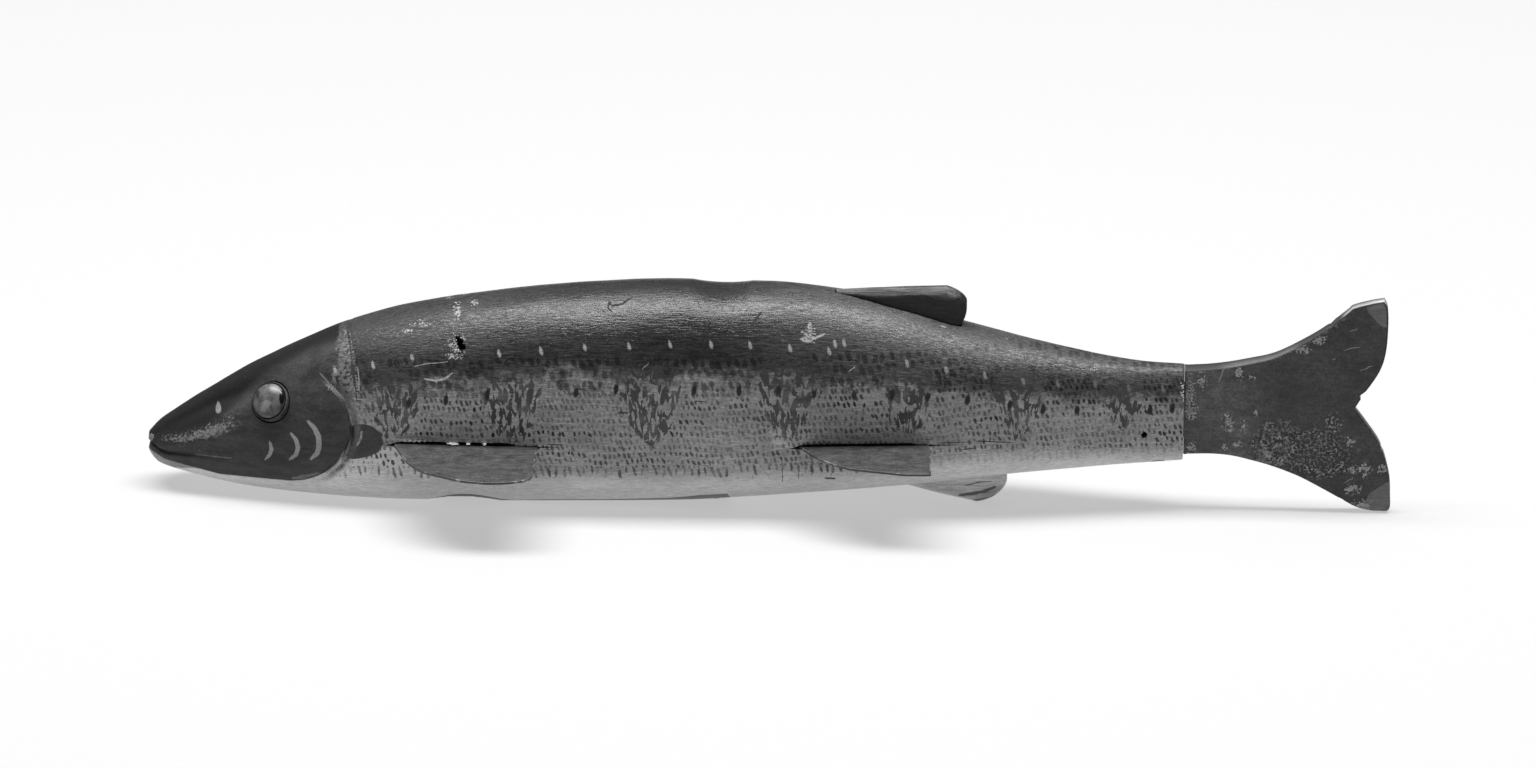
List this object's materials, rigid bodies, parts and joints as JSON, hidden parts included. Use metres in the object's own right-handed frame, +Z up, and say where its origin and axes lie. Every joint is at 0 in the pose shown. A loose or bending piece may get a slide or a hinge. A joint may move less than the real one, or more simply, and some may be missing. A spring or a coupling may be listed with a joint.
{
  "type": "fish decoy",
  "caption": "Carved and painted wooden fish decoy with sheet-metal side fins, a forked wooden tail, domed eyes and a weighted belly.",
  "frame": {"origin": "on the resting plane under the middle of the fish, snout tip to tail tips", "axes": "+X towards the tail, -Y out of the left flank that the picture shows, +Z up"},
  "size_m": [0.2501, 0.0716, 0.0457],
  "materials": {
    "body_paint": "satin",
    "belly_paint": "satin",
    "tail_paint": "satin",
    "dorsal_paint": "satin",
    "fin_paint": "satin",
    "lead": "matte",
    "eye": "gloss"
  },
  "bodies": {
    "root": {"body": "body_paint", "belly_weight": "lead", "tail": "tail_paint", "dorsal_fin": "dorsal_paint", "anal_fin": "belly_paint", "pectoral_fin_left": "fin_paint", "pectoral_fin_right": "fin_paint", "pelvic_fin_left": "fin_paint", "pelvic_fin_right": "fin_paint", "eye_left": "eye", "eye_right": "eye"}
  },
  "joints": []
}
